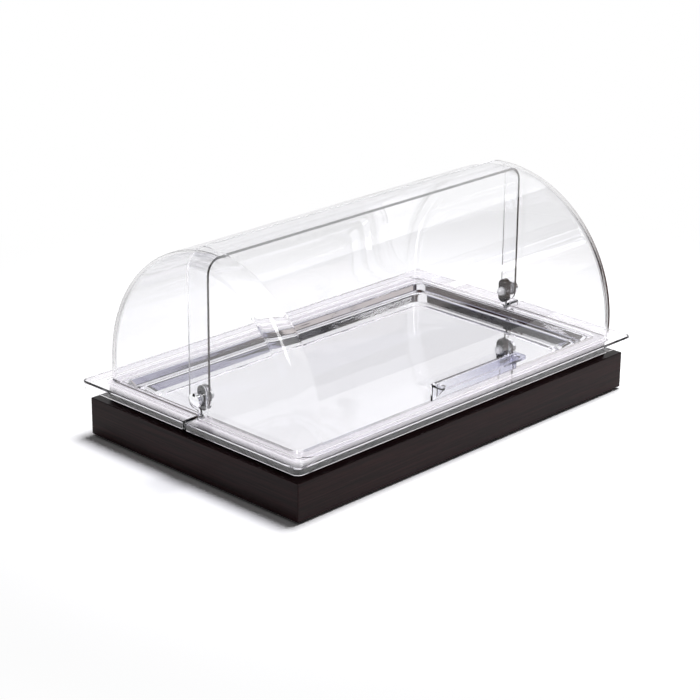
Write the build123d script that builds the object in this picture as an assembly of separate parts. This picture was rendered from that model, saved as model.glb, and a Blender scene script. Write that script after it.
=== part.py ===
"""Roll-top buffet display: dark wood base, polished steel tray and a two-part clear cover.

Millimetres, +Z up, X along the long side, and the serving side faces -Y. The origin is the centre
of the whole object's footprint, on the table.
"""
from build123d import *
from math import acos, cos, degrees, hypot, pi, radians, sin, sqrt
import os

# Wood base
base_length = 556.0
base_width = 340.0
board_height = 45.0
board_thickness = 18.0
board_edge_round = 1.0
panel_thickness = 4.0
panel_rebate = 9.0
corner_block_side = 24.0
corner_block_height = 30.0
corner_block_chamfer = 8.0
foot_height = 3.0
foot_diameter = 18.0
foot_inset = 30.0
foot_bevel = 1.0
foot_screw_sink = 1.0

# Steel tray
tray_inset = 13.0
tray_seat_depth = 3.0
tray_rise = 19.2
tray_sheet = 0.9
tray_rim_width = 13.5
tray_edge_round = 1.8
tray_outer_corner = 8.0
tray_corner_growth = 0.25
tray_upper_wall = 6.6
tray_upper_run = 3.0
tray_shoulder_run = 9.0
tray_shoulder_fall = 1.4
tray_lower_wall = 6.6
tray_lower_run = 7.0
tray_floor_round_run = 8.0
tray_floor_round_fall = 1.2
tray_edge_end_angle = 15.0
tray_edge_steps = 4
shoulder_ease_run = 0.8
shoulder_ease_fall = 0.6
lower_ease_run = 1.0
lower_ease_fall = 0.8
floor_knee_run_share = 0.4
floor_knee_fall_share = 0.7

# Clear cover
cover_wall = 3.0
cover_overhang = 8.0
flange_thickness = 3.0
flange_corner = 9.0
flange_edge_round = 1.4
lip_height = 9.5
lip_thickness = 2.4
lip_end_round = 3.5
ledge_setback = 2.5
locating_rib_width = 2.0
locating_rib_height = 2.5
hinge_above_flange = 20.7
hood_radius = 170.0
hood_end_margin = 20.0
hood_edge_round = 24.0
hood_lap = 13.0
hood_root_depth = 1.0

# Grip on the front half
grip_length = 144.0
grip_reach = 19.5
grip_thickness = 3.0
grip_top_above_hinge = 12.8
grip_corner = 5.0
grip_back_height = 20.0
grip_rib_thickness = 3.0
grip_rib_setback = 8.0

# Pivot hardware
pivot_diameter = 6.0
pivot_head_diameter = 17.0
pivot_head_height = 6.0
pivot_head_rim = 4.0
pivot_thread_diameter = 4.0
pivot_block_width = 14.0
pivot_block_height = 30.0
pivot_block_depth = 8.0
pivot_block_round = 1.5
washer_diameter = 12.0
washer_thickness = 1.0
bush_diameter = 11.0
nut_diameter = 9.0
nut_height = 7.0
nut_flat_height = 3.2
thread_past_flats = 1.5
nut_dome_inset = 0.35
nut_dome_angles = (0, 20, 40, 60, 75)
head_dome_steps = 6

# Screws
screw_diameter = 3.5
screw_head_diameter = 7.0
corner_screw_length = 35.0
panel_screw_length = 16.0
foot_screw_length = 22.0
side_screw_setback = 8.0
side_screw_low = 9.0
side_screw_high = 21.0
screw_cross_length = 4.2
screw_cross_width = 1.1
screw_cross_depth = 1.2
panel_screw_step_x = base_length / 4
panel_screw_step_y = base_width / 6

# Named clearances
seat_gap = 0.3
nest_gap = 3.5
seam_half_gap = 0.75
pivot_clearance = 0.05
head_gap = 0.2
spacer_gap = 0.1
overcut = 1.0

# Heights worked out from the sizes above
board_bottom = foot_height
board_top = foot_height + board_height
panel_top = board_bottom + panel_thickness
tray_foot = board_top - tray_seat_depth
rim_top = board_top + tray_rise
flange_bottom = rim_top + seat_gap
flange_top = flange_bottom + flange_thickness
hinge_height = flange_top + hinge_above_flange

# Half lengths and half widths
tray_half_x = base_length / 2 - tray_inset
tray_half_y = base_width / 2 - tray_inset
flange_half_x = base_length / 2 + cover_overhang
flange_half_y = base_width / 2 + cover_overhang
ledge_half_x = tray_half_x - tray_rim_width + ledge_setback
ledge_half_y = tray_half_y - tray_rim_width + ledge_setback
front_hood_end = flange_half_x - hood_end_margin
rear_hood_end = front_hood_end - cover_wall - nest_gap
rear_hood_radius = hood_radius - cover_wall - nest_gap
rear_hood_edge_round = hood_edge_round - cover_wall - nest_gap
grip_front = hood_radius + grip_reach

# The footprint's centre is the origin: the grip stands out at the front only.
footprint_shift = (grip_front - flange_half_y) / 2


def save(name, shape):
    """Write one node, moved so that the footprint's centre is the origin."""
    export_step(Pos(0, footprint_shift, 0) * shape, f"parts/{name}.step")


def block(x0, x1, y0, y1, z0, z1):
    """A box between two corners."""
    middle = Pos((x0 + x1) / 2, (y0 + y1) / 2, (z0 + z1) / 2)
    return middle * Box(x1 - x0, y1 - y0, z1 - z0)


def rounded_section(half_x, half_y, corner, z):
    """A rounded rectangle lying flat at height z."""
    return Pos(0, 0, z) * RectangleRounded(2 * half_x, 2 * half_y, corner)


def rounded_block(half_x, half_y, corner, z0, z1):
    """A rounded rectangle pushed up from z0 to z1."""
    return extrude(rounded_section(half_x, half_y, corner, z0), z1 - z0)


def turned(profile, axis=Axis.Z):
    """A solid of revolution from a list of (radius, height) points."""
    return revolve(make_face(Plane.XZ * Polyline(*profile, close=True)), axis)


# Wood base

def board_ring():
    """The four boards as one ring, with the tray's seat above and the panel's rebate below."""
    half_x = base_length / 2
    half_y = base_width / 2
    ring = block(-half_x, half_x, -half_y, half_y, board_bottom, board_top)
    ring = fillet(ring.edges(), board_edge_round)
    open_x = half_x - board_thickness
    open_y = half_y - board_thickness
    ring -= block(-open_x, open_x, -open_y, open_y, board_bottom - overcut, board_top + overcut)
    seat_x = tray_half_x + seat_gap
    seat_y = tray_half_y + seat_gap
    seat_z = tray_foot - seat_gap
    ring -= rounded_block(seat_x, seat_y, tray_outer_corner + seat_gap, seat_z, board_top + overcut)
    rebate_x = half_x - panel_rebate
    rebate_y = half_y - panel_rebate
    ring -= block(-rebate_x, rebate_x, -rebate_y, rebate_y, board_bottom - overcut, panel_top)
    return ring


def mitre_wedge(half_long, half_short):
    """The part of the footprint that one mitred board covers, for a board on the -Y side."""
    inner_long = half_long - board_thickness
    inner_short = half_short - board_thickness
    outline = Polyline(
        (-half_long, -half_short),
        (half_long, -half_short),
        (inner_long, -inner_short),
        (-inner_long, -inner_short),
        close=True,
    )
    foot_of_cut = Pos(0, 0, board_bottom - overcut)
    return extrude(foot_of_cut * make_face(outline), board_height + 2 * overcut)


def boards():
    """The four mitred boards by name."""
    ring = board_ring()
    half_x = base_length / 2
    half_y = base_width / 2
    long_wedge = mitre_wedge(half_x, half_y)
    short_wedge = mitre_wedge(half_y, half_x)
    return {
        "front_board": ring & long_wedge,
        "rear_board": ring & (Rot(0, 0, 180) * long_wedge),
        "right_board": ring & (Rot(0, 0, 90) * short_wedge),
        "left_board": ring & (Rot(0, 0, -90) * short_wedge),
    }


def corner_block(sign_x, sign_y):
    """A glue block in one inner corner of the boards, standing on the bottom panel."""
    inner_x = base_length / 2 - board_thickness
    inner_y = base_width / 2 - board_thickness
    side = corner_block_side
    shape = block(0, side, 0, side, panel_top, panel_top + corner_block_height)
    free_edge = shape.edges().filter_by(Axis.Z).sort_by(Axis.X)[-2:].sort_by(Axis.Y)[-1]
    shape = chamfer(free_edge, corner_block_chamfer)
    turn = {(-1, -1): 0, (1, -1): 90, (1, 1): 180, (-1, 1): 270}[(sign_x, sign_y)]
    return Pos(sign_x * inner_x, sign_y * inner_y, 0) * Rot(0, 0, turn) * shape


def bottom_panel():
    """The thin panel let into the underside of the boards."""
    half_x = base_length / 2 - panel_rebate - seat_gap
    half_y = base_width / 2 - panel_rebate - seat_gap
    return block(-half_x, half_x, -half_y, half_y, board_bottom, panel_top)


def foot(x, y):
    """A low rubber foot with a countersunk hole."""
    radius = foot_diameter / 2
    hole = screw_diameter / 2
    head = screw_head_diameter / 2
    profile = [
        (hole, foot_height),
        (radius, foot_height),
        (radius, foot_bevel),
        (radius - foot_bevel, 0),
        (head, 0),
        (head, foot_screw_sink),
        (hole, foot_screw_sink + head - hole),
    ]
    return Pos(x, y, 0) * turned(profile)


# Wood screws: each is placed head first at the origin and points up before it is moved

def screw_blank(length):
    """A countersunk screw without its cross recess, which is also the shape of its hole."""
    head = screw_head_diameter / 2
    shank = screw_diameter / 2
    cone = head - shank
    return turned([(0, 0), (head, 0), (shank, cone), (shank, length - screw_diameter), (0, length)])


def wood_screw(length):
    """A countersunk cross-head screw."""
    screw = screw_blank(length)
    for angle in (0, 90):
        screw -= Rot(0, 0, angle) * Box(screw_cross_length, screw_cross_width, 2 * screw_cross_depth)
    return screw


def corner_signs():
    """The signs of the four corners, front left first."""
    return [(sx, sy) for sy in (-1, 1) for sx in (-1, 1)]


def side_screw_places():
    """Two screws through each corner block, one into each board."""
    face_x = base_length / 2 - board_thickness - corner_block_side
    face_y = base_width / 2 - board_thickness - corner_block_side
    line_x = face_x + corner_block_side - side_screw_setback
    line_y = face_y + corner_block_side - side_screw_setback
    low = panel_top + side_screw_low
    high = panel_top + side_screw_high
    places = []
    for sx, sy in corner_signs():
        places.append(Pos(sx * face_x, sy * line_y, low) * Rot(0, 90 * sx, 0))
        places.append(Pos(sx * line_x, sy * face_y, high) * Rot(-90 * sy, 0, 0))
    return places


def panel_screw_places():
    """Screws round the bottom panel, in the middle of the boards' rebate."""
    inset = (panel_rebate + board_thickness) / 2
    line_x = base_length / 2 - inset
    line_y = base_width / 2 - inset
    long_side = [(sx * panel_screw_step_x, sy * line_y) for sy in (-1, 1) for sx in (-1, 0, 1)]
    short_side = [(sx * line_x, sy * panel_screw_step_y) for sx in (-1, 1) for sy in (-1, 1)]
    return [Pos(x, y, board_bottom) for x, y in long_side + short_side]


def foot_places():
    """The centres of the four feet, front left first."""
    x = base_length / 2 - foot_inset
    y = base_width / 2 - foot_inset
    return [(sx * x, sy * y) for sx, sy in corner_signs()]


def drilled(shape, holes):
    """The shape as one solid, less every hole that enters it."""
    return (shape - holes).solid()


def save_base():
    """Boards, panel, blocks, feet and screws, with each screw's hole cut to the screw."""
    side_places = side_screw_places()
    panel_places = panel_screw_places()
    foot_screw_places = [Pos(x, y, foot_screw_sink) for x, y in foot_places()]
    side_holes = [place * screw_blank(corner_screw_length) for place in side_places]
    panel_holes = [place * screw_blank(panel_screw_length) for place in panel_places]
    foot_holes = [place * screw_blank(foot_screw_length) for place in foot_screw_places]
    for name, board in boards().items():
        save(name, drilled(board, side_holes + panel_holes))
    blocks = [drilled(corner_block(sx, sy), side_holes + foot_holes) for sx, sy in corner_signs()]
    save("corner_blocks", Compound(blocks))
    save("bottom_panel", drilled(bottom_panel(), panel_holes + foot_holes))
    save("corner_screws", Compound([place * wood_screw(corner_screw_length) for place in side_places]))
    save("panel_screws", Compound([place * wood_screw(panel_screw_length) for place in panel_places]))
    save("foot_screws", Compound([place * wood_screw(foot_screw_length) for place in foot_screw_places]))
    names = ["front_left_foot", "front_right_foot", "rear_left_foot", "rear_right_foot"]
    for name, (x, y) in zip(names, foot_places()):
        save(name, foot(x, y))


# Steel tray

def arc_points(centre, radius, start, end, steps):
    """Points along an arc in the (inset, height) plane, angles in degrees."""
    turn = (end - start) / steps
    angles = [radians(start + turn * step) for step in range(steps + 1)]
    return [(centre[0] + radius * cos(a), centre[1] + radius * sin(a)) for a in angles]


def pan_outline():
    """The tray's upper surface from the rim inward, as (inset, height) points."""
    edge = tray_edge_round
    start = tray_rim_width
    points = arc_points((start, rim_top - edge), edge, 90, tray_edge_end_angle, tray_edge_steps)
    inset = start + edge + tray_upper_run
    height = rim_top - tray_upper_wall
    points += [(inset, height), (inset + shoulder_ease_run, height - shoulder_ease_fall)]
    inset += tray_shoulder_run
    height -= tray_shoulder_fall
    points += [(inset, height), (inset + lower_ease_run, height - lower_ease_fall)]
    inset += tray_lower_run
    height -= tray_lower_wall
    points += [(inset, height)]
    knee_run = tray_floor_round_run * floor_knee_run_share
    knee_fall = tray_floor_round_fall * floor_knee_fall_share
    points += [(inset + knee_run, height - knee_fall)]
    points += [(inset + tray_floor_round_run, height - tray_floor_round_fall)]
    return points


def offset_outline(points, distance):
    """The outline moved sideways by a distance, with mitred joints."""
    normals = []
    for (x0, z0), (x1, z1) in zip(points, points[1:]):
        length = hypot(x1 - x0, z1 - z0)
        normals.append(((z1 - z0) / length, -(x1 - x0) / length))
    firsts = [normals[0]] + normals
    lasts = normals + [normals[-1]]
    moved = []
    for (x, z), (ax, az), (bx, bz) in zip(points, firsts, lasts):
        spread = 1 + ax * bx + az * bz
        moved.append((x + distance * (ax + bx) / spread, z + distance * (az + bz) / spread))
    return moved


def tray_section(inset, height):
    """One level of the tray: the outer rectangle drawn in by an inset."""
    corner = tray_outer_corner + tray_corner_growth * inset
    return rounded_section(tray_half_x - inset, tray_half_y - inset, corner, height)


def tray_stack(points):
    """A solid through the levels of an outline, lowest level first."""
    levels = sorted(points, key=lambda point: point[1])
    return loft([tray_section(inset, height) for inset, height in levels], ruled=True)


def steel_tray():
    """Pressed tray: flat rim, skirt down to the boards, stepped walls and a flat floor."""
    edge = tray_edge_round
    edge_arc = arc_points((0, rim_top - edge), edge, 0, 90, tray_edge_steps)
    outer_edge = [(edge - x, z) for x, z in edge_arc]
    shell = tray_stack([(0, tray_foot)] + outer_edge)
    under_rim = rim_top - tray_sheet
    half_x = tray_half_x - tray_sheet
    half_y = tray_half_y - tray_sheet
    inner_corner = tray_outer_corner - tray_sheet
    shell -= rounded_block(half_x, half_y, inner_corner, tray_foot - overcut, under_rim)
    upper = pan_outline()
    lower = offset_outline(upper, tray_sheet)
    shell += tray_stack(lower)
    return shell - tray_stack(upper + [(tray_rim_width, rim_top + overcut)])


# Clear cover

def hood_solid(radius, end, edge_round, low, lap, tongue):
    """A quarter round block facing -Y, with its end edges rounded.

    lap is how far it runs past the crest, and tongue rounds its lower end about the hinge.
    """
    crest_angle = degrees(acos(lap / radius))
    middle_angle = (180 + crest_angle) / 2
    middle = (radius * cos(radians(middle_angle)), radius * sin(radians(middle_angle)))
    crest = (lap, radius * sin(radians(crest_angle)))
    tongue_middle = (lap * cos(pi / 4), -lap * sin(pi / 4))
    with BuildPart() as hood:
        with BuildSketch(Plane.YZ):
            with BuildLine():
                if tongue:
                    heel = (-seam_half_gap, -sqrt(lap * lap - seam_half_gap * seam_half_gap))
                    Line((-seam_half_gap, low), (-radius, low))
                    Line((lap, 0), crest)
                    ThreePointArc((lap, 0), tongue_middle, heel)
                    Line(heel, (-seam_half_gap, low))
                else:
                    Line((lap, low), (-radius, low))
                    Line((lap, low), crest)
                Line((-radius, low), (-radius, 0))
                ThreePointArc((-radius, 0), middle, crest)
            make_face()
        extrude(amount=end, both=True)
        ends = hood.edges().filter_by(lambda edge: abs(abs(edge.center().X) - end) < 0.01)
        arcs = ends.filter_by(lambda edge: edge.geom_type == GeomType.CIRCLE and edge.radius > 2 * lap)
        skirts = ends.filter_by(lambda edge: abs(edge.center().Y + radius) < 0.01)
        fillet(arcs + skirts, edge_round)
    return hood.part


def hood_shell(radius, end, edge_round):
    """The clear wall of one cover half, about the hinge, facing -Y."""
    low = -hinge_above_flange - hood_root_depth
    outer = hood_solid(radius, end, edge_round, low, hood_lap, True)
    inner = hood_solid(radius - cover_wall, end - cover_wall, edge_round - cover_wall,
                       low - overcut, hood_lap + overcut, False)
    return outer - inner


def front_region(z0, z1):
    """Everything on the front side of the seam between two heights."""
    reach_x = flange_half_x + overcut
    reach_y = flange_half_y + overcut
    return block(-reach_x, reach_x, -reach_y, -seam_half_gap, z0, z1)


def locating_rib(under):
    """The low rib under the flange that stands just outside the tray and centres the cover."""
    half_x = tray_half_x + seat_gap
    half_y = tray_half_y + seat_gap
    corner = tray_outer_corner + seat_gap
    low = under - locating_rib_height
    high = under + flange_thickness / 2
    width = locating_rib_width
    rib = rounded_block(half_x + width, half_y + width, corner + width, low, high)
    rib -= rounded_block(half_x, half_y, corner, low - overcut, high + overcut)
    return rib & front_region(low, high)


def flange_half():
    """The flat flange of one cover half with its turned-down lip, facing -Y."""
    top = -hinge_above_flange
    under = top - flange_thickness
    bottom = top - lip_height
    plate = rounded_block(flange_half_x, flange_half_y, flange_corner, bottom, top)
    plate = fillet(plate.faces().sort_by(Axis.Z)[-1].edges(), flange_edge_round)
    plate &= front_region(bottom, top)
    seam_ends = plate.edges().filter_by(Axis.Z).sort_by(Axis.Y)[-2:]
    plate = fillet(seam_ends, lip_end_round)
    inner_corner = flange_corner - lip_thickness
    plate -= rounded_block(flange_half_x - lip_thickness, flange_half_y - lip_thickness,
                           inner_corner, bottom - overcut, under)
    plate -= rounded_block(ledge_half_x, ledge_half_y, tray_outer_corner, bottom - overcut, top + overcut)
    return plate + locating_rib(under)


def cover_half(radius, end, edge_round, bore):
    """One clear moulding: quarter round hood, flange, lip and the two hinge holes."""
    half = hood_shell(radius, end, edge_round) + flange_half()
    half -= Rot(0, 90, 0) * Cylinder(bore, 2 * (end + overcut))
    return Pos(0, 0, hinge_height) * half


def front_grip():
    """The clear finger grip on the front half: a curved back, a ledge and two end ribs."""
    half = grip_length / 2
    top = grip_top_above_hinge
    under = top - grip_thickness
    low = top - grip_back_height
    outside = hood_radius + seat_gap
    ledge = block(-half, half, -grip_front, 0, under, top)
    front_corners = ledge.edges().filter_by(Axis.Z).sort_by(Axis.Y)[:2]
    ledge = fillet(front_corners, grip_corner)
    back = block(-half, half, -outside - grip_thickness, 0, low, top)
    rib_outline = Polyline(
        (0, under),
        (-grip_front + grip_corner, under),
        (-outside, low),
        (0, low),
        close=True,
    )
    rib = extrude(make_face(Plane.YZ * rib_outline), grip_rib_thickness / 2, both=True)
    rib_x = half - grip_rib_setback
    grip = ledge + back + Pos(-rib_x, 0, 0) * rib + Pos(rib_x, 0, 0) * rib
    hood = Rot(0, 90, 0) * Cylinder(outside, 2 * (half + overcut))
    below_axis = block(-half - overcut, half + overcut, -outside, overcut, low - overcut, 0)
    return Pos(0, 0, hinge_height) * (grip - hood - below_axis)


# Pivots, drawn for the right end and mirrored to the left

def along_x(shape, x):
    """A solid of revolution about Z laid along +X from x, on the hinge axis."""
    return Pos(x, 0, hinge_height) * Rot(0, 90, 0) * shape


def ring(x, outer, inner, thickness):
    """A flat washer on the hinge axis, from x outwards."""
    profile = [(inner, 0), (outer, 0), (outer, thickness), (inner, thickness)]
    return along_x(turned(profile), x)


def pivot_block_inner_face():
    """Where the pivot block ends inside the cover."""
    return rear_hood_end - cover_wall - pivot_block_depth


def pivot_block():
    """The clear boss inside the rear half that holds the pivot square."""
    outer_face = rear_hood_end - cover_wall
    outline = Plane.YZ * SlotOverall(pivot_block_height, pivot_block_width, rotation=90)
    body = extrude(outline, pivot_block_depth)
    inner_rim = body.faces().sort_by(Axis.X)[0].edges()
    body = fillet(inner_rim, pivot_block_round)
    body = Pos(outer_face - pivot_block_depth, 0, hinge_height) * body
    hole_start = outer_face - pivot_block_depth - overcut
    hole = ring(hole_start, pivot_diameter / 2, 0, pivot_block_depth + 2 * overcut)
    return body - hole


def pivot_pin():
    """A domed pivot screw: polished head outside, plain shoulder, thread into the nut."""
    shoulder_start = pivot_block_inner_face()
    head_start = front_hood_end + washer_thickness + head_gap
    tail = washer_thickness + nut_flat_height + thread_past_flats
    shoulder = head_start - shoulder_start
    head = pivot_head_diameter / 2
    dome_rise = pivot_head_height - pivot_head_rim
    sphere = (head * head + dome_rise * dome_rise) / (2 * dome_rise)
    centre = tail + shoulder + pivot_head_height - sphere
    edge_angle = degrees(acos(head / sphere))
    dome = arc_points((0, centre), sphere, edge_angle, 90, head_dome_steps)[:-1]
    profile = [(0, 0), (pivot_thread_diameter / 2, 0), (pivot_thread_diameter / 2, tail)]
    profile += [(pivot_diameter / 2, tail), (pivot_diameter / 2, tail + shoulder)]
    profile += [(head, tail + shoulder)] + dome + [(0, tail + shoulder + pivot_head_height)]
    return along_x(turned(profile), shoulder_start - tail)


def cap_nut():
    """A closed hexagon nut with a domed end, on the pivot's thread."""
    start = pivot_block_inner_face() - washer_thickness
    radius = nut_diameter / 2
    hexagon = extrude(RegularPolygon(radius, 6, major_radius=False), nut_flat_height)
    dome_radius = radius - nut_dome_inset
    rise = nut_height - nut_flat_height
    dome = [(dome_radius * cos(radians(a)), nut_flat_height + rise * sin(radians(a)))
            for a in nut_dome_angles]
    cap = turned([(0, nut_flat_height)] + dome + [(0, nut_height)])
    nut = hexagon + cap
    nut -= Cylinder(pivot_thread_diameter / 2, 2 * (nut_flat_height + thread_past_flats))
    return Pos(start, 0, hinge_height) * Rot(0, -90, 0) * nut


def save_pivots():
    """Both ends' pivot pieces."""
    loose = pivot_diameter / 2 + 2 * pivot_clearance
    right = {
        "pivot_pin": pivot_pin(),
        "pivot_block": pivot_block(),
        "cap_nut": cap_nut(),
        "nut_washer": ring(pivot_block_inner_face() - washer_thickness, washer_diameter / 2,
                           pivot_thread_diameter / 2, washer_thickness),
        "spacer_bush": ring(rear_hood_end + spacer_gap, bush_diameter / 2, pivot_diameter / 2,
                            nest_gap - 2 * spacer_gap),
        "bearing_washer": ring(front_hood_end, washer_diameter / 2, loose, washer_thickness),
    }
    for name, shape in right.items():
        save(f"right_{name}", shape)
        save(f"left_{name}", mirror(shape, Plane.YZ))


def main():
    os.makedirs("parts", exist_ok=True)
    save_base()
    save("steel_tray", steel_tray())
    running_bore = pivot_diameter / 2 + pivot_clearance
    save("front_cover", cover_half(hood_radius, front_hood_end, hood_edge_round, running_bore))
    rear = cover_half(rear_hood_radius, rear_hood_end, rear_hood_edge_round, pivot_diameter / 2)
    save("rear_cover", mirror(rear, Plane.XZ))
    save("front_grip", front_grip())
    save_pivots()


main()
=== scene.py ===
"""Looks for the roll-top buffet display: wood base, polished steel tray and clear two-part cover.

Metres throughout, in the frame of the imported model.
"""

from functools import partial
from math import cos, degrees, pi, radians, sin

import bmesh
import bpy
from mathutils import Matrix, Vector


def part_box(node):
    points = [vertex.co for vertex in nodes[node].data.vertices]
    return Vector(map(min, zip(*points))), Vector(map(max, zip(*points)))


bl_info = {
    "name": "Roll-top buffet display",
    "version": (1, 0, 0),
    "blender": (4, 5, 0),
    "location": "3D View > Sidebar > Roll top",
    "description": "Finishes a roll-top buffet display: wood, steel, clear cover and stage",
    "category": "Object",
}

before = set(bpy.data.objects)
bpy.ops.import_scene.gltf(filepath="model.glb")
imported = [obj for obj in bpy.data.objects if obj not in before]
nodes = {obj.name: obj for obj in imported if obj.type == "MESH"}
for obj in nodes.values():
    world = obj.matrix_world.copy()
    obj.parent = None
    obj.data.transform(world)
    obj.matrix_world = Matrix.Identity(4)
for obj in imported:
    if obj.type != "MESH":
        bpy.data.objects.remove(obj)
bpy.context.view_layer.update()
board_edges = [corner[1] for node in ("front_board", "rear_board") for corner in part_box(node)]
base_centre_y = sum(board_edges) / len(board_edges)


# Shader helpers

class Amount:
    """A number that varies over a surface. Python's operators on it add Math nodes."""

    def __init__(self, finish, socket):
        self.finish = finish
        self.socket = socket

    def maths(self, operation, *values):
        return self.finish.node("ShaderNodeMath", {"operation": operation}, dict(enumerate(values)))

    def __add__(self, other):
        return self.maths("ADD", self, other)

    __radd__ = __add__

    def __sub__(self, other):
        return self.maths("SUBTRACT", self, other)

    def __rsub__(self, other):
        return self.maths("SUBTRACT", other, self)

    def __mul__(self, other):
        return self.maths("MULTIPLY", self, other)

    __rmul__ = __mul__

    def __pow__(self, other):
        return self.maths("POWER", self, other)

    def above(self, other):
        return self.maths("GREATER_THAN", self, other)

    def size(self):
        return self.maths("ABSOLUTE", self)

    def largest(self, other):
        return self.maths("MAXIMUM", self, other)


class Finish:
    """A node tree under construction, for a material or for the world."""

    def __init__(self, owner):
        owner.use_nodes = True
        self.owner = owner
        self.tree = owner.node_tree
        self.tree.nodes.clear()

    def node(self, kind, settings=None, sockets=None, out=0):
        """Add a node: its settings first, then the values or links of its sockets."""
        made = self.tree.nodes.new(kind)
        for name, value in (settings or {}).items():
            setattr(made, name, value)
        for name, value in (sockets or {}).items():
            target = made.inputs[name]
            if isinstance(value, Amount):
                self.tree.links.new(value.socket, target)
            else:
                target.default_value = value
        return Amount(self, made.outputs[out]) if made.outputs else made

    def place(self, scale=(1, 1, 1), turn=(0, 0, 0)):
        """The point on the object, turned and scaled."""
        point = self.node("ShaderNodeTexCoord", out="Object")
        sockets = {"Vector": point, "Rotation": turn, "Scale": scale}
        return self.node("ShaderNodeMapping", None, sockets)

    def axes(self):
        """The point's X, Y and Z on the object."""
        split = self.node("ShaderNodeSeparateXYZ", None, {"Vector": self.place()})
        outputs = split.socket.node.outputs
        return [Amount(self, outputs[axis]) for axis in ("X", "Y", "Z")]

    def noise(self, vector, scale, detail=3.0, rough=0.5, distortion=0.0):
        return self.node("ShaderNodeTexNoise", None, {
            "Vector": vector, "Scale": scale, "Detail": detail, "Roughness": rough,
            "Distortion": distortion,
        })

    def between(self, amount, low, high):
        """0 where the amount is at low, 1 at high, smooth in between."""
        sockets = {"Value": amount, "From Min": low, "From Max": high}
        settings = {"interpolation_type": "SMOOTHSTEP"}
        return self.node("ShaderNodeMapRange", settings, sockets)

    def blend(self, amount, first, second):
        """Two colours mixed by an amount."""
        sockets = {0: amount, 6: first, 7: second}
        return self.node("ShaderNodeMix", {"data_type": "RGBA"}, sockets, out=2)

    def mix(self, amount, first, second):
        """Two shaders mixed by an amount."""
        return self.node("ShaderNodeMixShader", None, {0: amount, 1: first, 2: second})

    def emission(self, colour):
        return self.node("ShaderNodeEmission", None, {"Color": colour, "Strength": 1.0})

    def bump(self, height, strength, distance, normal=None):
        sockets = {"Height": height, "Strength": strength, "Distance": distance}
        if normal:
            sockets["Normal"] = normal
        return self.node("ShaderNodeBump", None, sockets)

    def light_path(self, which):
        return self.node("ShaderNodeLightPath", out=which)

    def seen(self):
        """1 for what the camera, a reflection or a view through something clear sees."""
        seen = self.light_path("Is Camera Ray")
        seen = seen.largest(self.light_path("Is Glossy Ray"))
        return seen.largest(self.light_path("Is Transmission Ray"))

    def principled(self, sockets):
        return self.node("ShaderNodeBsdfPrincipled", None, sockets)

    def finish(self, surface, volume=None):
        kind = "World" if isinstance(self.owner, bpy.types.World) else "Material"
        output = self.tree.nodes.new(f"ShaderNodeOutput{kind}")
        self.tree.links.new(surface.socket, output.inputs["Surface"])
        if volume:
            self.tree.links.new(volume.socket, output.inputs["Volume"])
        return self.owner


def solid(colour):
    """A colour with its alpha."""
    return (*colour[:3], 1.0)


def material(name):
    return Finish(bpy.data.materials.new(name))


# Where the finishes change on the imported pieces, in metres. Each pair starts and ends a fade.
# Painted shade along the boards' top edge
TOP_PAINTED_SHADE_BELOW_BOARD_TOP = (0.0008, 0.0002)
WELL_INSET = 0.0125
WELL_FADE = 0.001
# Painted reflection low on the tray's skirt
PAINTED_REFLECTION_BELOW_RIM = (0.0130, 0.0026)
FLANGE_HEIGHT = (0.0712, 0.0740)
# Painted highlight on the lap and seam edges
LAP_EDGE_AWAY = (0.0003, 0.0006)
SEAM_EDGE_AWAY = (0.0009, 0.0013)
SEAM_HEIGHT = (0.0712, 0.0730)
END_WALL_ACROSS = (0.2480, 0.2540)
# Painted shade in the cover's end bends
END_BEND_ACROSS = (0.2425, 0.2470)
BEND_SIDE_ACROSS = (-0.1, 0.1)
BEND_ROOT_HEIGHT = (0.0760, 0.0900)
BEND_FADE_HEIGHT = (0.14, 0.25)

# How far a wall of the cover turns away from the eye: a fade's start and end, for the painted shade
# at the edges and in the end bends
EDGE_FACING = (0.62, 1.0)
BEND_FACING = (0.34, 0.74)

COVER_WAVE_HEIGHT = 0.00003
SMALL_PART_WAVE_HEIGHT = 0.00001


# Finishes

def dark_wood(name, turn, colours):
    """Open-pored dark wood under a satin lacquer, its grain along local X after the turn."""
    wood = material(name)
    along = wood.place(turn=(0, 0, turn))
    stretch = {"broad": (2.2, 30, 30), "lines": (9, 420, 420), "pores": (60, 1500, 1500)}
    grain = {
        part: wood.node("ShaderNodeMapping", None, {"Vector": along, "Scale": scale})
        for part, scale in stretch.items()
    }
    broad = wood.noise(grain["broad"], 1.0, detail=4.0, rough=0.55, distortion=0.6)
    lines = wood.noise(grain["lines"], 1.0, detail=5.0, rough=0.65, distortion=0.3)
    pits = wood.noise(grain["pores"], 1.0, detail=2.0)
    stripe = wood.between(lines * 0.65 + broad * 0.35, 0.36, 0.66)
    pit = wood.between(pits, 0.60, 0.74)
    shade = wood.blend(stripe, solid(colours.wood_dark), solid(colours.wood_light))
    shade = wood.blend(pit * 0.55, shade, solid(colours.wood_pore))
    # Painted shade: the boards' top edge is darkened
    board_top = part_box("front_board")[1][2]
    start, end = (board_top - below for below in TOP_PAINTED_SHADE_BELOW_BOARD_TOP)
    painted_top_shade = wood.between(wood.axes()[2], start, end)
    shade = wood.blend(painted_top_shade * 0.9, shade, solid(colours.wood_top_painted_shade))
    return wood.finish(wood.principled({
        "Base Color": shade,
        "Roughness": 0.24 + lines * 0.14 + pit * 0.12,
        "Normal": wood.bump(lines * 0.5 - pit, strength=0.30, distance=0.0001),
        "Specular IOR Level": 0.10,
    }))


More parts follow.
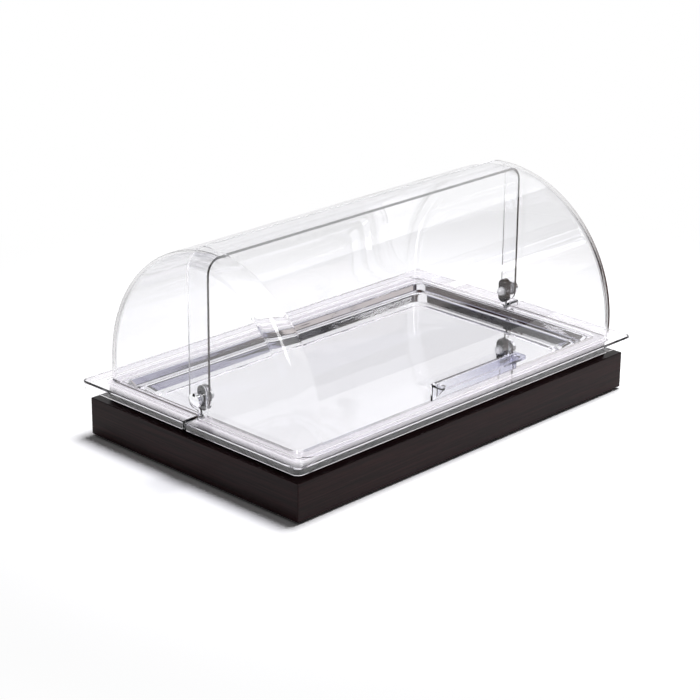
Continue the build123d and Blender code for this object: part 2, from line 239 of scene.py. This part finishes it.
def birch_plywood(colours):
    """Plain sanded plywood for the pieces inside the base."""
    ply = material("birch_plywood")
    figure = ply.noise(ply.place(scale=(6, 90, 300)), 1.0, detail=5.0, rough=0.6, distortion=0.8)
    fibres = ply.noise(ply.place(scale=(30, 900, 900)), 1.0, detail=3.0, rough=0.6)
    light = ply.between(figure, 0.3, 0.7)
    shade = ply.blend(light, solid(colours.ply_dark), solid(colours.ply_light))
    shade = ply.blend(ply.between(fibres, 0.55, 0.8) * 0.25, shade, solid(colours.ply_dark))
    return ply.finish(ply.principled({
        "Base Color": shade,
        "Roughness": 0.55 + fibres * 0.2,
        "Normal": ply.bump(fibres, strength=0.3, distance=0.0001),
    }))


def zinc_plate(colours):
    """Bright zinc on the wood screws."""
    zinc = material("zinc_plate")
    cloud = zinc.noise(zinc.place(), 600.0)
    drift = zinc.noise(zinc.place(), 60.0, detail=2.0)
    warm = zinc.between(drift, 0.35, 0.7)
    return zinc.finish(zinc.principled({
        "Base Color": zinc.blend(warm, solid(colours.zinc), solid(colours.zinc_warm)),
        "Metallic": 1.0,
        "Roughness": 0.26 + cloud * 0.16,
        "Normal": zinc.bump(cloud, strength=0.15, distance=0.00005),
    }))


def foot_rubber(colours):
    """Fine-grained matt rubber."""
    rubber = material("foot_rubber")
    grain = rubber.noise(rubber.place(), 2500.0, detail=2.0)
    dust = rubber.between(rubber.noise(rubber.place(), 130.0, detail=4.0), 0.45, 0.75)
    return rubber.finish(rubber.principled({
        "Base Color": rubber.blend(dust * 0.4, solid(colours.rubber), solid(colours.rubber_dust)),
        "Roughness": 0.62 + grain * 0.2,
        "Normal": rubber.bump(grain, strength=0.4, distance=0.00005),
    }))


def inside_well(finish, across, along):
    """1 inside the tray's well, 0 on its rim and skirt."""
    low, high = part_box("steel_tray")
    half_length = (high[0] - low[0]) / 2 - WELL_INSET
    half_width = (high[1] - low[1]) / 2 - WELL_INSET
    from_middle = (along - base_centre_y).size()
    in_length = 1 - finish.between(across.size(), half_length, half_length + WELL_FADE)
    in_width = 1 - finish.between(from_middle, half_width, half_width + WELL_FADE)
    return in_length * in_width


def mirror_steel(colours, sizes):
    """Mirror polished steel sheet: wavy from pressing, with drawing lines round the well.

    The dark skirt is a painted reflection: a tint that depends on height.
    """
    steel = material("mirror_steel")
    waves = steel.noise(
        steel.place(), sizes.steel_wave_scale, detail=2.0, rough=0.4, distortion=0.2)
    ripples = steel.noise(steel.place(), 120.0, detail=2.0)
    smudge = steel.between(steel.noise(steel.place(), 18.0, detail=4.0, rough=0.6), 0.45, 0.8)
    fine = steel.noise(steel.place(scale=(40, 2600, 2600)), 1.0)
    drawn = steel.noise(steel.place(scale=(9, 9, 240)), 1.0, detail=1.5, rough=0.45)
    across, along, high = steel.axes()
    well = inside_well(steel, across, along)
    relief = steel.bump(waves, strength=1.0, distance=sizes.steel_wave_height)
    relief = steel.bump(ripples, 1.0, sizes.steel_wave_height * 0.02, relief)
    relief = steel.bump(drawn * well, 1.0, sizes.drawn_line_height, relief)
    # Painted reflection: the skirt darkens towards its bottom
    rim_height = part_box("steel_tray")[1][2]
    start, end = (rim_height - below for below in PAINTED_REFLECTION_BELOW_RIM)
    painted_skirt_reflection = (1 - steel.between(high, start, end)) * (1 - well)
    shade = steel.blend(smudge * 0.3, solid(colours.steel), solid(colours.steel_smudge))
    shade = steel.blend(1 - well, shade, solid(colours.steel_rim))
    shade = steel.blend(painted_skirt_reflection, shade, solid(colours.steel_skirt_painted_reflection))
    return steel.finish(steel.principled({
        "Base Color": shade,
        "Metallic": 1.0,
        "Roughness": 0.035 + smudge * 0.05 + fine * 0.03,
        "Normal": relief,
    }))


def chrome_plate(name, colours, metallic, roughness):
    """Plated metal on the pivots."""
    chrome = material(name)
    haze = chrome.noise(chrome.place(), 400.0)
    hazy = chrome.between(haze, 0.4, 0.7)
    return chrome.finish(chrome.principled({
        "Base Color": chrome.blend(hazy, solid(colours.chrome), solid(colours.chrome_haze)),
        "Metallic": metallic,
        "Roughness": roughness + haze * 0.05,
        "Normal": chrome.bump(haze, strength=0.1, distance=0.00002),
    }))


def clear_plastic(name, colours, sizes, wave_height, tinted, marks=None):
    """Clear moulded plastic with a slight flow waviness.

    tinted gives its tint, with painted shade at the edges, and marks gives where painted highlight
    and painted shade go on its edges and bends.
    """
    clear = material(name)
    waves = clear.noise(clear.place(), 22.0, detail=2.0, rough=0.4)
    haze = clear.between(clear.noise(clear.place(), 9.0), 0.5, 0.8)
    facing = clear.node("ShaderNodeLayerWeight", None, {"Blend": 0.5}, out="Facing")
    surface = clear.principled({
        "Base Color": tinted(clear, facing, colours),
        "Roughness": haze * 0.012,
        "IOR": 1.49,
        "Transmission Weight": 1.0,
        "Normal": clear.bump(waves, strength=1.0, distance=wave_height),
    })
    # Painted highlight and painted shade, mixed in as diffuse colour
    for amount, colour in marks(clear, facing, colours) if marks else ():
        mark = clear.node("ShaderNodeBsdfDiffuse", None, {"Color": colour})
        surface = clear.mix(amount, surface, mark)
    through = clear.node("ShaderNodeBsdfTransparent", None, {"Color": solid(colours.clear_shadow)})
    soft_light = clear.light_path("Is Shadow Ray").largest(clear.light_path("Is Diffuse Ray"))
    inside = clear.node("ShaderNodeVolumeAbsorption", None, {
        "Color": solid(colours.clear_depth), "Density": sizes.clear_density,
    })
    return clear.finish(clear.mix(soft_light, surface, through), inside)


def edge_painted_shade(clear, facing, colours):
    """Clear face on, painted shade where the wall turns away from the eye: grey."""
    rim = clear.between(facing, *EDGE_FACING) ** 1.5
    return clear.blend(rim, solid(colours.clear_tint), solid(colours.clear_edge_painted_shade))


def cover_tint(clear, facing, colours):
    """The cover's tint, a little lilac in the flange and lip."""
    flange = 1 - clear.between(clear.axes()[2], *FLANGE_HEIGHT)
    return clear.blend(flange, edge_painted_shade(clear, facing, colours), solid(colours.clear_flange))


def grip_painted_reflection(clear, facing, colours):
    """The grip's tint, a painted reflection: grey-blue, fading towards its left end."""
    left, right = (corner[0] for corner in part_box("front_grip"))
    # depth is the share of the painted reflection: 0.2 at the left end, 1 at the right
    depth = 0.2 + 0.8 * clear.between(clear.axes()[0], left, right)
    return clear.blend(depth, edge_painted_shade(clear, facing, colours), solid(colours.clear_grip_painted_reflection))


def cover_edges(clear, facing, colours, side):
    """Where one half of the cover looks other than clear, with painted highlight and painted shade:
    how much, and its colour.

    side is -1 for the half whose lap edge lies in front of the middle, and 1 for the other.
    The dark end bends are painted shade, mixed in by the angle at which they are seen,
    and more strongly low down and on the right, so they change from one view to the next.
    """
    across, along, high = clear.axes()
    from_middle = along - base_centre_y
    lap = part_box("front_cover")[1][1] - base_centre_y
    lap_edge = 1 - clear.between((from_middle - side * lap).size(), *LAP_EDGE_AWAY)
    seam_edge = 1 - clear.between(from_middle.size(), *SEAM_EDGE_AWAY)
    seam_edge = seam_edge * (1 - clear.between(high, *SEAM_HEIGHT))
    ends = clear.between(across.size(), *END_WALL_ACROSS)
    low = 1 - 0.85 * clear.between(high, *BEND_FADE_HEIGHT)
    far = 0.35 + 0.65 * clear.between(across, *BEND_SIDE_ACROSS)
    bend = clear.between(across.size(), *END_BEND_ACROSS) * low * far
    bend = clear.between(facing, *BEND_FACING) * bend * clear.between(high, *BEND_ROOT_HEIGHT)
    end_colour = colours.clear_bend_painted_shade if side < 0 else colours.clear_painted_highlight
    # Painted highlight on the lap and seam edges; painted shade in the end bends and, on the rear
    # half, at the lap edge by the ends
    return (
        (lap_edge * (1 - ends) * 0.35, solid(colours.clear_painted_highlight)),
        (seam_edge * 0.8, solid(colours.clear_painted_highlight)),
        (lap_edge * ends * low * 0.3, solid(end_colour)),
        (bend, solid(colours.clear_bend_painted_shade)),
    )


def clear_washer_plastic(colours):
    """Milky clear nylon for the washers and bushes."""
    nylon = material("clear_nylon")
    cloud = nylon.noise(nylon.place(), 300.0)
    return nylon.finish(nylon.principled({
        "Base Color": nylon.blend(cloud, solid(colours.nylon), solid(colours.nylon_milky)),
        "Roughness": 0.05 + cloud * 0.08,
        "Transmission Weight": 0.6,
        "IOR": 1.53,
        "Normal": nylon.bump(cloud, strength=0.1, distance=0.00003),
    }))


# Sizes and colours that a user would change

def colour_property(name, description, default, highest=1.0):
    return bpy.props.FloatVectorProperty(
        name=name, description=description, default=default, size=3, subtype="COLOR", min=0.0,
        max=highest)


class RollTopColours(bpy.types.PropertyGroup):
    wood_dark: colour_property("Wood, dark", "Dark part of the grain", (0.0095, 0.0030, 0.0038))
    wood_light: colour_property("Wood, light", "Light part of the grain", (0.0290, 0.0088, 0.0094))
    wood_pore: colour_property("Wood, pore", "Open pores in the wood", (0.0035, 0.0018, 0.0020))
    # Painted shade on the boards' top edge
    wood_top_painted_shade: colour_property(
        "Wood, top edge", "Dark tint at the boards' top edge", (0.003, 0.0015, 0.0015))
    ply_dark: colour_property("Plywood, dark", "Dark figure of the plywood", (0.46, 0.31, 0.18))
    ply_light: colour_property("Plywood, light", "Light figure of the plywood", (0.66, 0.49, 0.32))
    zinc: colour_property("Zinc", "Zinc plate on the screws", (0.62, 0.64, 0.67))
    zinc_warm: colour_property("Zinc, warm", "Warmer patches in the zinc", (0.68, 0.66, 0.62))
    rubber: colour_property("Rubber", "Rubber of the feet", (0.018, 0.018, 0.019))
    rubber_dust: colour_property("Rubber, dusty", "Dust on the rubber", (0.07, 0.07, 0.07))
    steel: colour_property("Steel", "Polished steel of the tray", (0.965, 0.960, 0.985))
    steel_smudge: colour_property(
        "Steel, smudged", "Faint smudges on the steel", (0.89, 0.89, 0.92))
    steel_rim: colour_property(
        "Steel, rim", "Polished steel of the rim and skirt", (0.92, 0.90, 0.93))
    # Painted reflection low on the skirt
    steel_skirt_painted_reflection: colour_property(
        "Steel, low skirt", "Dark tint low on the skirt", (0.018, 0.015, 0.022))
    chrome: colour_property("Chrome", "Pivot heads and nuts", (0.93, 0.93, 0.95))
    chrome_haze: colour_property("Chrome, hazy", "Haze on the pivots", (0.86, 0.86, 0.88))
    clear_tint: colour_property(
        "Clear plastic", "Tint of the clear plastic seen face on", (0.975, 0.974, 0.982))
    # Painted shade at the clear plastic's edges
    clear_edge_painted_shade: colour_property(
        "Clear plastic, edge", "Tint of the clear plastic at its edges", (0.46, 0.45, 0.50))
    clear_flange: colour_property(
        "Clear plastic, flange", "Tint of the flange and lip", (0.972, 0.960, 0.976))
    # Painted highlight on the lap and seam edges
    clear_painted_highlight: colour_property(
        "Clear plastic, sanded", "Light colour mixed into the lap and seam edges",
        (0.96, 0.96, 0.98))
    # Painted shade in the end bends and at the rear half's lap edge by the ends
    clear_bend_painted_shade: colour_property(
        "Clear plastic, end bends", "Dark colour mixed into the end bends", (0.07, 0.035, 0.03))
    # Painted reflection on the grip
    clear_grip_painted_reflection: colour_property("Clear plastic, grip", "Tint of the grip", (0.66, 0.66, 0.78))
    clear_depth: colour_property(
        "Clear plastic, depth", "Colour of light that runs inside the plastic", (0.72, 0.72, 0.78))
    clear_shadow: colour_property(
        "Clear plastic, shadow", "Light that passes the plastic", (0.985, 0.985, 0.99))
    nylon: colour_property("Washers", "Clear nylon of the washers", (0.90, 0.91, 0.92))
    nylon_milky: colour_property("Washers, milky", "Milky parts of the nylon", (0.80, 0.81, 0.83))
    floor: colour_property("Floor", "Pale floor as it lights the object", (0.86, 0.86, 0.87))
    floor_seen: colour_property("Floor, seen", "Pale floor as it is seen", (1.10, 1.10, 1.11), 1.5)
    card_black: colour_property(
        "Card, black", "Black card that reflections see", (0.002, 0.001, 0.001))
    card_grey: colour_property(
        "Wall, grey", "Grey wall on the right, that reflections see", (0.05, 0.048, 0.052))
    card_brown: colour_property(
        "Card, brown", "Brown card that reflections see", (0.045, 0.032, 0.030))
    card_beige: colour_property(
        "Card, beige", "Beige card that reflections see", (0.60, 0.545, 0.52))
    card_cool: colour_property(
        "Card, cool", "Cool grey card that reflections see", (0.34, 0.335, 0.43))


class RollTopSizes(bpy.types.PropertyGroup):
    steel_wave_scale: bpy.props.FloatProperty(
        name="Steel wave scale", description="How close the waves in the steel lie", default=14.0)
    steel_wave_height: bpy.props.FloatProperty(
        name="Steel wave height", description="Height of the waves in the steel",
        default=0.0006, unit="LENGTH", precision=5)
    drawn_line_height: bpy.props.FloatProperty(
        name="Drawn line height", description="Height of the drawing lines in the tray's walls",
        default=0.00028, unit="LENGTH", precision=5)
    clear_density: bpy.props.FloatProperty(
        name="Clear density", description="How fast the clear plastic takes up light, per metre",
        default=9.0)
    floor_radius: bpy.props.FloatProperty(
        name="Floor radius", description="Radius of the pale floor", default=7.0, unit="LENGTH")
    shade_inner: bpy.props.FloatProperty(
        name="Shade inner radius", description="Where the floor's shading starts to fade to white",
        default=0.42, unit="LENGTH")
    shade_outer: bpy.props.FloatProperty(
        name="Shade outer radius", description="Where the floor is plain white", default=0.85,
        unit="LENGTH")
    studio_radius: bpy.props.FloatProperty(
        name="Studio radius", description="Radius of the wall that reflections see", default=3.0,
        unit="LENGTH")
    studio_height: bpy.props.FloatProperty(
        name="Studio height", description="Height of the wall that reflections see", default=5.0,
        unit="LENGTH")
    lens: bpy.props.FloatProperty(
        name="Lens", description="Focal length in mm on a 36 mm frame", default=112.243)
    camera_turn: bpy.props.FloatProperty(
        name="Camera turn", description="Camera's angle round the object",
        default=radians(-46.0761), subtype="ANGLE")
    camera_height: bpy.props.FloatProperty(
        name="Camera height", description="Camera's angle above the horizon",
        default=radians(20.9176), subtype="ANGLE")
    camera_roll: bpy.props.FloatProperty(
        name="Camera roll", description="Camera's turn about its own line of sight",
        default=radians(0.6047), subtype="ANGLE")
    camera_distance: bpy.props.FloatProperty(
        name="Camera distance", description="From the middle of the base", default=2.610744,
        unit="LENGTH")
    camera_right: bpy.props.FloatProperty(
        name="Camera right", description="Sideways from the middle of the base",
        default=-0.016404, unit="LENGTH", precision=4)
    camera_up: bpy.props.FloatProperty(
        name="Camera up", description="Upwards from the middle of the base",
        default=0.073393, unit="LENGTH", precision=4)


# Pieces

def dress(node, finish):
    """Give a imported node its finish."""
    for slot in nodes[node].material_slots:
        slot.material = finish


def new_mesh_object(name, shape):
    """An object from a bmesh shape, which is freed."""
    mesh = bpy.data.meshes.new(name)
    shape.to_mesh(mesh)
    shape.free()
    piece = bpy.data.objects.new(name, mesh)
    bpy.context.scene.collection.objects.link(piece)
    return piece


class RollTopOperator:
    bl_options = {"REGISTER", "UNDO"}

    @property
    def colours(self):
        return bpy.context.scene.roll_top_colours

    @property
    def sizes(self):
        return bpy.context.scene.roll_top_sizes


class ROLLTOP_OT_wood_boards(RollTopOperator, bpy.types.Operator):
    """Dark wood on the four boards, with the grain along each board"""
    bl_idname = "roll_top.wood_boards"
    bl_label = "Wood boards"

    def execute(self, context):
        long_way = dark_wood("dark_wood_long", 0.0, self.colours)
        short_way = dark_wood("dark_wood_short", pi / 2, self.colours)
        for node in ("front_board", "rear_board"):
            dress(node, long_way)
        for node in ("left_board", "right_board"):
            dress(node, short_way)
        return {"FINISHED"}


class ROLLTOP_OT_base_inside(RollTopOperator, bpy.types.Operator):
    """Plywood on the bottom panel and the corner blocks"""
    bl_idname = "roll_top.base_inside"
    bl_label = "Inside of the base"

    def execute(self, context):
        plywood = birch_plywood(self.colours)
        dress("bottom_panel", plywood)
        dress("corner_blocks", plywood)
        return {"FINISHED"}


class ROLLTOP_OT_base_screws(RollTopOperator, bpy.types.Operator):
    """Zinc plate on the screws in the base"""
    bl_idname = "roll_top.base_screws"
    bl_label = "Base screws"

    def execute(self, context):
        zinc = zinc_plate(self.colours)
        for node in ("corner_screws", "panel_screws", "foot_screws"):
            dress(node, zinc)
        return {"FINISHED"}


class ROLLTOP_OT_feet(RollTopOperator, bpy.types.Operator):
    """Rubber on the four feet"""
    bl_idname = "roll_top.feet"
    bl_label = "Feet"

    def execute(self, context):
        rubber = foot_rubber(self.colours)
        for corner in ("front_left", "front_right", "rear_left", "rear_right"):
            dress(f"{corner}_foot", rubber)
        return {"FINISHED"}


class ROLLTOP_OT_steel_tray(RollTopOperator, bpy.types.Operator):
    """Mirror polish on the pressed tray"""
    bl_idname = "roll_top.steel_tray"
    bl_label = "Steel tray"

    def execute(self, context):
        dress("steel_tray", mirror_steel(self.colours, self.sizes))
        return {"FINISHED"}


class ROLLTOP_OT_cover_halves(RollTopOperator, bpy.types.Operator):
    """Clear plastic on both halves of the cover and on the grip"""
    bl_idname = "roll_top.cover_halves"
    bl_label = "Cover halves and grip"

    def execute(self, context):
        colours = self.colours
        sizes = self.sizes
        for node, side in (("front_cover", 1), ("rear_cover", -1)):
            edges = partial(cover_edges, side=side)
            dress(node, clear_plastic(
                f"clear_{node}", colours, sizes, COVER_WAVE_HEIGHT, cover_tint, edges))
        dress("front_grip", clear_plastic(
            "clear_grip_painted_reflection", colours, sizes, SMALL_PART_WAVE_HEIGHT, grip_painted_reflection))
        return {"FINISHED"}


class ROLLTOP_OT_pivots(RollTopOperator, bpy.types.Operator):
    """Chrome, clear plastic and nylon on the two pivots"""
    bl_idname = "roll_top.pivots"
    bl_label = "Pivots"

    def execute(self, context):
        colours = self.colours
        polished = chrome_plate("polished_chrome", colours, metallic=1.0, roughness=0.04)
        satin = chrome_plate("satin_chrome", colours, metallic=0.4, roughness=0.28)
        nylon = clear_washer_plastic(colours)
        block = clear_plastic("clear_block", colours, self.sizes, SMALL_PART_WAVE_HEIGHT, edge_painted_shade)
        for side in ("left", "right"):
            dress(f"{side}_pivot_block", block)
            dress(f"{side}_pivot_pin", polished)
            dress(f"{side}_cap_nut", satin)
            for piece in ("nut_washer", "spacer_bush", "bearing_washer"):
                dress(f"{side}_{piece}", nylon)
        return {"FINISHED"}


# Stage

WHITE = (1.0, 1.0, 1.0, 1.0)
ROUND_SEGMENTS = 96
GREY_WALL = (94.0, 150.0, -1.0, 4.9)
CARD_SIDE_FADE = 0.4
CARD_TOP_FADE = 0.03


def soft_box(name, place, aim, width, depth, power):
    """A rectangular lamp that faces a point."""
    lamp = bpy.data.lights.new(name, "AREA")
    lamp.shape = "RECTANGLE"
    lamp.size = width
    lamp.size_y = depth
    lamp.energy = power
    holder = bpy.data.objects.new(name, lamp)
    bpy.context.scene.collection.objects.link(holder)
    holder.location = place
    holder.rotation_mode = "QUATERNION"
    holder.rotation_quaternion = (Vector(aim) - Vector(place)).to_track_quat("-Z", "Y")
    return holder


class ROLLTOP_OT_stage(RollTopOperator, bpy.types.Operator):
    """Pale floor, white surround, soft lamps, wall of coloured cards and the camera"""
    bl_idname = "roll_top.stage"
    bl_label = "Stage and camera"

    def execute(self, context):
        self.make_floor()
        self.make_surround()
        self.make_lamps()
        self.make_studio_wall()
        self.make_camera(context)
        context.scene.view_settings.view_transform = "Standard"
        cycles = context.scene.cycles
        cycles.max_bounces = 32
        cycles.transmission_bounces = 24
        cycles.glossy_bounces = 10
        cycles.transparent_max_bounces = 48
        return {"FINISHED"}

    def make_floor(self):
        shape = bmesh.new()
        bmesh.ops.create_circle(
            shape, cap_ends=True, segments=ROUND_SEGMENTS, radius=self.sizes.floor_radius)
        floor = new_mesh_object("floor", shape)
        paint = material("pale_floor")
        length = {"operation": "LENGTH"}
        distance = paint.node("ShaderNodeVectorMath", length, {0: paint.place()}, out="Value")
        away = paint.between(distance, self.sizes.shade_inner, self.sizes.shade_outer)
        plain = paint.node("ShaderNodeBsdfDiffuse", None, {"Color": solid(self.colours.floor)})
        near = paint.node("ShaderNodeBsdfDiffuse", None, {"Color": solid(self.colours.floor_seen)})
        shown = paint.mix(away, near, paint.emission(WHITE))
        floor.data.materials.append(paint.finish(paint.mix(paint.seen(), plain, shown)))

    def make_surround(self):
        world = bpy.data.worlds.new("white_surround")
        bpy.context.scene.world = world
        sky = Finish(world)
        world.cycles.sampling_method = "NONE"
        point = sky.node("ShaderNodeTexCoord", out="Generated")
        upwards = sky.node("ShaderNodeSeparateXYZ", None, {"Vector": point}, out="Z")
        soft_top = 0.03 + 0.09 * sky.between(upwards, 0.1, 0.7)
        seen = sky.seen()
        strength = soft_top * (1 - seen) + seen
        sky.finish(sky.node("ShaderNodeBackground", None, {"Color": WHITE, "Strength": strength}))

    def make_lamps(self):
        key = soft_box("key_soft_box", place=(0.42, -0.10, 1.75), aim=(0, 0, 0.05),
                       width=0.75, depth=0.75, power=39.0)
        key.visible_glossy = False
        key.visible_transmission = False
        strip = soft_box("left_strip", place=(-1.75, -0.75, 1.25), aim=(0, 0, 0.1),
                         width=0.42, depth=1.3, power=10.0)
        strip.visible_diffuse = False

    def make_studio_wall(self):
        """A round wall with coloured cards that only reflections see.

        The cards are placed for the camera's view. From behind, the tray's floor shows some.
        """
        colours = self.colours
        shape = bmesh.new()
        radius = self.sizes.studio_radius
        height = self.sizes.studio_height
        bmesh.ops.create_cone(
            shape, cap_ends=False, segments=ROUND_SEGMENTS,
            radius1=radius, radius2=radius, depth=height)
        bmesh.ops.translate(shape, vec=(0, 0, height / 2), verts=shape.verts)
        wall = new_mesh_object("studio_wall", shape)
        wall.visible_shadow = False
        wall.visible_diffuse = False
        wall.visible_camera = False
        paint = material("studio_wall")
        across, along, high = paint.axes()
        azimuth = across.maths("ARCTAN2", across, along) * degrees(1)
        # Each card: its two azimuths in degrees, its two heights in metres, and its colour
        cards = (
            (98.0, 115.5, 2.2, 4.1, colours.card_black),
            (80.0, 98.0, 2.5, 4.4, colours.card_black),
            (-5.0, 12.0, 2.5, 4.9, colours.card_black),
            (115.5, 128.0, 2.2, 4.1, colours.card_cool),
            (122.0, 132.5, 0.9, 2.1, colours.card_beige),
            (132.5, 136.5, 0.8, 2.1, colours.card_brown),
            (137.0, 150.0, 0.8, 2.1, colours.card_cool),
            (-33.0, -15.0, 2.5, 4.9, colours.card_black),
            (-15.0, -3.0, 2.5, 4.9, colours.card_cool),
            (-58.0, -38.0, 1.2, 2.3, colours.card_brown),
            (-64.0, -42.0, 0.3, 1.05, colours.card_black),
        )
        shade = solid(colours.card_grey)
        shown = self.card(paint, azimuth, high, *GREY_WALL)
        for *edges, colour in cards:
            card = self.card(paint, azimuth, high, *edges)
            shade = paint.blend(card, shade, solid(colour))
            shown = card.largest(shown)
        reflected = paint.light_path("Glossy Depth").above(0.5)
        nothing = paint.node("ShaderNodeBsdfTransparent", None, {"Color": WHITE})
        surface = paint.mix(shown * reflected, nothing, paint.emission(shade))
        wall.data.materials.append(paint.finish(surface))

    def card(self, paint, azimuth, high, start, end, low, top):
        """1 on a card between two azimuths in degrees, from +Y towards +X, and two heights."""
        sideways = self.band(paint, azimuth, start, end, CARD_SIDE_FADE)
        return sideways * self.band(paint, high, low, top, CARD_TOP_FADE)

    def band(self, paint, amount, low, high, fade):
        """1 from low to high, with a soft fade to 0 at each end."""
        rise = paint.between(amount, low - fade, low + fade)
        return rise * (1 - paint.between(amount, high - fade, high + fade))

    def make_camera(self, context):
        sizes = self.sizes
        turn = sizes.camera_turn
        height = sizes.camera_height
        back = Vector((sin(turn) * cos(height), -cos(turn) * cos(height), sin(height)))
        level = Vector((cos(turn), sin(turn), 0))
        upright = back.cross(level)
        right = level * cos(sizes.camera_roll) + upright * sin(sizes.camera_roll)
        up = upright * cos(sizes.camera_roll) - level * sin(sizes.camera_roll)
        data = bpy.data.cameras.new("camera")
        data.sensor_width = 36.0
        data.lens = sizes.lens
        data.clip_start = 0.01
        data.clip_end = 50.0
        camera = bpy.data.objects.new("camera", data)
        context.scene.collection.objects.link(camera)
        middle = Vector((0, base_centre_y, 0))
        place = middle + right * sizes.camera_right + up * sizes.camera_up
        place = place + back * sizes.camera_distance
        turned = Matrix((right, up, back)).transposed().to_4x4()
        camera.matrix_world = Matrix.Translation(place) @ turned
        context.scene.camera = camera


class ROLLTOP_PT_panel(bpy.types.Panel):
    """Buttons for the roll-top buffet display"""
    bl_idname = "ROLLTOP_PT_panel"
    bl_label = "Roll-top buffet display"
    bl_space_type = "VIEW_3D"
    bl_region_type = "UI"
    bl_category = "Roll top"

    def draw(self, context):
        for operator in operators:
            self.layout.operator(operator.bl_idname)
        for group in (context.scene.roll_top_sizes, context.scene.roll_top_colours):
            column = self.layout.column()
            for name in group.__annotations__:
                column.prop(group, name)


operators = (
    ROLLTOP_OT_wood_boards,
    ROLLTOP_OT_base_inside,
    ROLLTOP_OT_base_screws,
    ROLLTOP_OT_feet,
    ROLLTOP_OT_steel_tray,
    ROLLTOP_OT_cover_halves,
    ROLLTOP_OT_pivots,
    ROLLTOP_OT_stage,
)
classes = (RollTopColours, RollTopSizes) + operators + (ROLLTOP_PT_panel,)


def register():
    for each in classes:
        bpy.utils.register_class(each)
    bpy.types.Scene.roll_top_colours = bpy.props.PointerProperty(type=RollTopColours)
    bpy.types.Scene.roll_top_sizes = bpy.props.PointerProperty(type=RollTopSizes)


def unregister():
    del bpy.types.Scene.roll_top_sizes
    del bpy.types.Scene.roll_top_colours
    for each in reversed(classes):
        bpy.utils.unregister_class(each)


def main():
    register()
    bpy.ops.roll_top.wood_boards()
    bpy.ops.roll_top.base_inside()
    bpy.ops.roll_top.base_screws()
    bpy.ops.roll_top.feet()
    bpy.ops.roll_top.steel_tray()
    bpy.ops.roll_top.cover_halves()
    bpy.ops.roll_top.pivots()
    bpy.ops.roll_top.stage()


if __name__ == "__main__":
    main()
